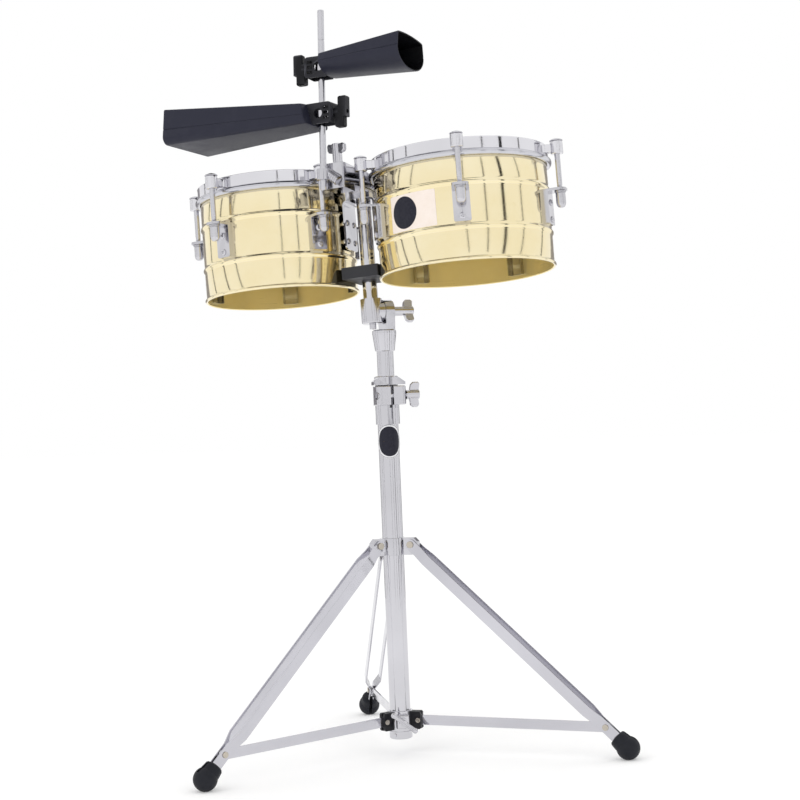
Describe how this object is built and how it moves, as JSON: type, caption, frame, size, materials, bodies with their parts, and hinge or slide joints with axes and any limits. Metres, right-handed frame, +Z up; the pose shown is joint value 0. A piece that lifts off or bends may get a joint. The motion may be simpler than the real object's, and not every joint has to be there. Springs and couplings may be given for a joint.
{
  "type": "timbales",
  "caption": "Shallow brass-shelled drums side by side on a tilting, height-adjustable folding tripod stand, with black cowbells on a rod above them.",
  "frame": {"origin": "on the pole's axis at floor level", "axes": "+Z up the pole; +X along the drum line from the small drum to the large one; -Y towards the audience, +Y towards the player"},
  "size_m": [0.6923, 0.6468, 1.1138],
  "materials": {
    "steel_chrome": "polished chrome plate on steel tube and rod",
    "cast_chrome": "chrome plate over a casting",
    "strap_chrome": "chrome plate on rolled flat bar",
    "shell_brass": "polished and lacquered",
    "hoop_chrome": "chrome plate on rolled steel",
    "flesh_metal": "satin ring",
    "head_film": "coated polyester film, matte",
    "bell_black": "textured black powder coat",
    "bracket_black": "black powder coat",
    "foot_rubber": "moulded rubber",
    "block_rubber": "moulded hard rubber",
    "black_moulding": "moulded nylon",
    "bush_nylon": "moulded nylon",
    "badge_black": "gloss enamel"
  },
  "bodies": {
    "stand": {"base_tube": "steel_chrome", "tube_plug": "steel_chrome", "plug_screw": "steel_chrome", "leg_collar": "cast_chrome", "leg_pins": "steel_chrome", "pole_badge": "badge_black", "height_clamp": "cast_chrome", "clamp_bush": "bush_nylon", "clamp_bolt": "steel_chrome"},
    "height_nut": {"clamp_wing_nut": "cast_chrome"},
    "spreader": {"spreader_collar": "cast_chrome", "spreader_forks": "black_moulding", "spreader_pins": "steel_chrome"},
    "spreader_lock": {"spreader_bolt": "cast_chrome"},
    "mast": {"upper_tube": "steel_chrome", "memory_ring": "cast_chrome", "tilter_socket": "cast_chrome"},
    "tilt_lock": {"tilter_wing_screw": "cast_chrome"},
    "tilter": {"tilter_barrel": "cast_chrome"},
    "tilt_stud": {"tilt_stop_screw": "steel_chrome"},
    "drums": {"drum_post": "steel_chrome", "spacer_block": "block_rubber", "top_yoke": "cast_chrome", "mount_plates": "cast_chrome", "small_shell": "shell_brass", "small_head": "head_film", "small_flesh_hoop": "flesh_metal", "small_counterhoop": "hoop_chrome", "large_shell": "shell_brass", "large_head": "head_film", "large_flesh_hoop": "flesh_metal", "large_counterhoop": "hoop_chrome", "lug_brackets": "cast_chrome", "backing_channels": "cast_chrome", "drum_screws": "steel_chrome", "tuning_rods": "steel_chrome", "tuning_nuts": "steel_chrome"},
    "arm_lock": {"arm_wing_screw": "cast_chrome"},
    "jaw": {"rod_jaw": "cast_chrome"},
    "bell_rod": {"cowbell_rod": "steel_chrome"},
    "leg_left": {"leg_left": "strap_chrome", "rivet_left": "steel_chrome", "foot_left": "foot_rubber"},
    "strut_left": {"strut_left": "strap_chrome"},
    "leg_right": {"leg_right": "strap_chrome", "rivet_right": "steel_chrome", "foot_right": "foot_rubber"},
    "strut_right": {"strut_right": "strap_chrome"},
    "leg_back": {"leg_back": "strap_chrome", "rivet_back": "steel_chrome", "foot_back": "foot_rubber"},
    "strut_back": {"strut_back": "strap_chrome"},
    "small_bell": {"small_bell": "bell_black", "small_bell_clamp": "bracket_black", "small_bell_eyebolt": "steel_chrome"},
    "small_bell_nut": {"small_bell_wing_nut": "bracket_black"},
    "large_bell": {"large_bell": "bell_black", "large_bell_clamp": "bracket_black", "large_bell_eyebolt": "steel_chrome"},
    "large_bell_nut": {"large_bell_wing_nut": "bracket_black"}
  },
  "joints": [
    {"name": "spreader_slide", "type": "slide", "parent": "stand", "child": "spreader", "axis": [0, 0, 1], "range_m": [0, 0.15924]},
    {"name": "leg_left_fold", "type": "hinge", "parent": "stand", "child": "leg_left", "pos_m": [-0.01525, -0.02641, 0.3164], "axis": [0.866, -0.5, 0], "range_deg": [0, 43.64]},
    {"name": "strut_left_fold", "type": "hinge", "parent": "spreader", "child": "strut_left", "pos_m": [-0.0155, -0.02685, 0.0504], "axis": [0.866, -0.5, 0], "range_deg": [0, 84.51]},
    {"name": "leg_right_fold", "type": "hinge", "parent": "stand", "child": "leg_right", "pos_m": [0.0305, 0, 0.3164], "axis": [0, 1, 0], "range_deg": [0, 43.64]},
    {"name": "strut_right_fold", "type": "hinge", "parent": "spreader", "child": "strut_right", "pos_m": [0.031, 0, 0.0504], "axis": [0, 1, 0], "range_deg": [0, 84.51]},
    {"name": "leg_back_fold", "type": "hinge", "parent": "stand", "child": "leg_back", "pos_m": [-0.01525, 0.02641, 0.3164], "axis": [-0.866, -0.5, 0], "range_deg": [0, 43.64]},
    {"name": "strut_back_fold", "type": "hinge", "parent": "spreader", "child": "strut_back", "pos_m": [-0.0155, 0.02685, 0.0504], "axis": [-0.866, -0.5, 0], "range_deg": [0, 84.51]},
    {"name": "spreader_lock_turn", "type": "hinge", "parent": "spreader", "child": "spreader_lock", "pos_m": [0.015, -0.02598, 0.0504], "axis": [0.5, -0.866, 0], "continuous": true},
    {"name": "height_slide", "type": "slide", "parent": "stand", "child": "mast", "axis": [0, 0, 1], "range_m": [0, 0.16]},
    {"name": "height_nut_turn", "type": "hinge", "parent": "stand", "child": "height_nut", "pos_m": [0.03622, -0.00089, 0.5435], "axis": [0.788, 0.6157, 0], "continuous": true},
    {"name": "drum_tilt", "type": "hinge", "parent": "mast", "child": "tilter", "pos_m": [0, 0, 0.672], "axis": [0.7071, 0.7071, 0], "range_deg": [-55, 60]},
    {"name": "tilt_lock_turn", "type": "hinge", "parent": "mast", "child": "tilt_lock", "pos_m": [0.01061, 0.01061, 0.672], "axis": [0.7071, 0.7071, 0], "continuous": true},
    {"name": "tilt_stud_turn", "type": "hinge", "parent": "tilter", "child": "tilt_stud", "pos_m": [-0.0122, -0.01467, 0.65208], "axis": [-0.0616, 0.0616, 0.9962], "continuous": true},
    {"name": "post_swivel", "type": "hinge", "parent": "tilter", "child": "drums", "pos_m": [-0.01344, -0.01344, 0.672], "axis": [-0.0616, 0.0616, 0.9962], "continuous": true},
    {"name": "arm_lock_turn", "type": "hinge", "parent": "drums", "child": "arm_lock", "pos_m": [-0.02245, -0.10042, 0.88562], "axis": [-0.0616, 0.0616, 0.9962], "continuous": true},
    {"name": "jaw_tilt", "type": "hinge", "parent": "drums", "child": "jaw", "pos_m": [-0.02138, -0.11949, 0.8688], "axis": [0.0019, 0.9981, -0.0616], "range_deg": [-6, 3]},
    {"name": "bell_rod_slide", "type": "slide", "parent": "jaw", "child": "bell_rod", "axis": [-0.0001, 0.0616, 0.9981], "range_m": [-0.006, 0.012]},
    {"name": "small_bell_swivel", "type": "hinge", "parent": "bell_rod", "child": "small_bell", "pos_m": [-0.03341, -0.12171, 1.02723], "axis": [-0.0001, 0.0616, 0.9981], "continuous": true},
    {"name": "small_bell_nut_turn", "type": "hinge", "parent": "small_bell", "child": "small_bell_nut", "pos_m": [-0.06336, -0.12009, 1.02713], "axis": [0.9985, -0.0541, 0.0034], "continuous": true},
    {"name": "large_bell_swivel", "type": "hinge", "parent": "bell_rod", "child": "large_bell", "pos_m": [-0.0334, -0.12596, 0.95836], "axis": [-0.0001, 0.0616, 0.9981], "continuous": true},
    {"name": "large_bell_nut_turn", "type": "hinge", "parent": "large_bell", "child": "large_bell_nut", "pos_m": [-0.00374, -0.13045, 0.95864], "axis": [-0.9887, 0.1494, -0.0093], "continuous": true}
  ],
  "couplings": [
    {"joint": "leg_left_fold", "follows": "spreader_slide", "rad_per_m": 4.7816},
    {"joint": "strut_left_fold", "follows": "spreader_slide", "rad_per_m": 9.2616},
    {"joint": "leg_right_fold", "follows": "spreader_slide", "rad_per_m": 4.7816},
    {"joint": "strut_right_fold", "follows": "spreader_slide", "rad_per_m": 9.2616},
    {"joint": "leg_back_fold", "follows": "spreader_slide", "rad_per_m": 4.7816},
    {"joint": "strut_back_fold", "follows": "spreader_slide", "rad_per_m": 9.2616}
  ]
}
